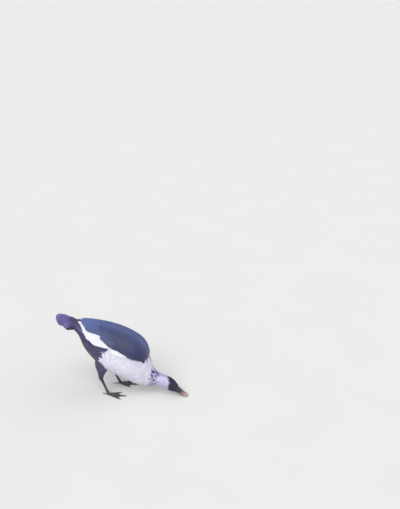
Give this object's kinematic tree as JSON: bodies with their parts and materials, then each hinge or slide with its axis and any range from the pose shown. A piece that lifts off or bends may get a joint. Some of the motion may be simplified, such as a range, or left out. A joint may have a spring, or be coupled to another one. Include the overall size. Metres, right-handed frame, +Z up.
{
  "type": "muscovy duck",
  "caption": "Still, life-size grazing muscovy duck with pied plumage: body pitched forward, bill tip on the floor, folded wings in tiers, fanned tail, webbed feet.",
  "frame": {"origin": "on the floor, at the middle of the footprint of the duck's bounding box", "axes": "+X towards the bill, +Y to the duck's left, +Z up"},
  "size_m": [0.5318, 0.1848, 0.3104],
  "materials": {
    "dark_plumage": "glossy blue-black feathers with a teal and violet sheen",
    "white_plumage": "soft matt white feathers",
    "mottled_plumage": "short black head feathers with white flecks",
    "bill": "pale pinkish horn with a dull brown base",
    "leg_skin": "dark scaly skin, satin",
    "claw": "dark worn horn",
    "eye": "wet dark brown"
  },
  "bodies": {
    "root": {"torso": "white_plumage", "neck": "white_plumage", "eye_left": "eye", "eye_right": "eye", "head": "mottled_plumage", "bill_upper": "bill", "bill_lower": "bill", "wing_left": "dark_plumage", "wing_right": "dark_plumage", "tail": "dark_plumage", "thigh_left": "dark_plumage", "shank_left": "leg_skin", "foot_left": "leg_skin", "claw_left_1": "claw", "claw_left_2": "claw", "claw_left_3": "claw", "claw_left_4": "claw", "thigh_right": "dark_plumage", "shank_right": "leg_skin", "foot_right": "leg_skin", "claw_right_1": "claw", "claw_right_2": "claw", "claw_right_3": "claw", "claw_right_4": "claw"}
  },
  "joints": []
}
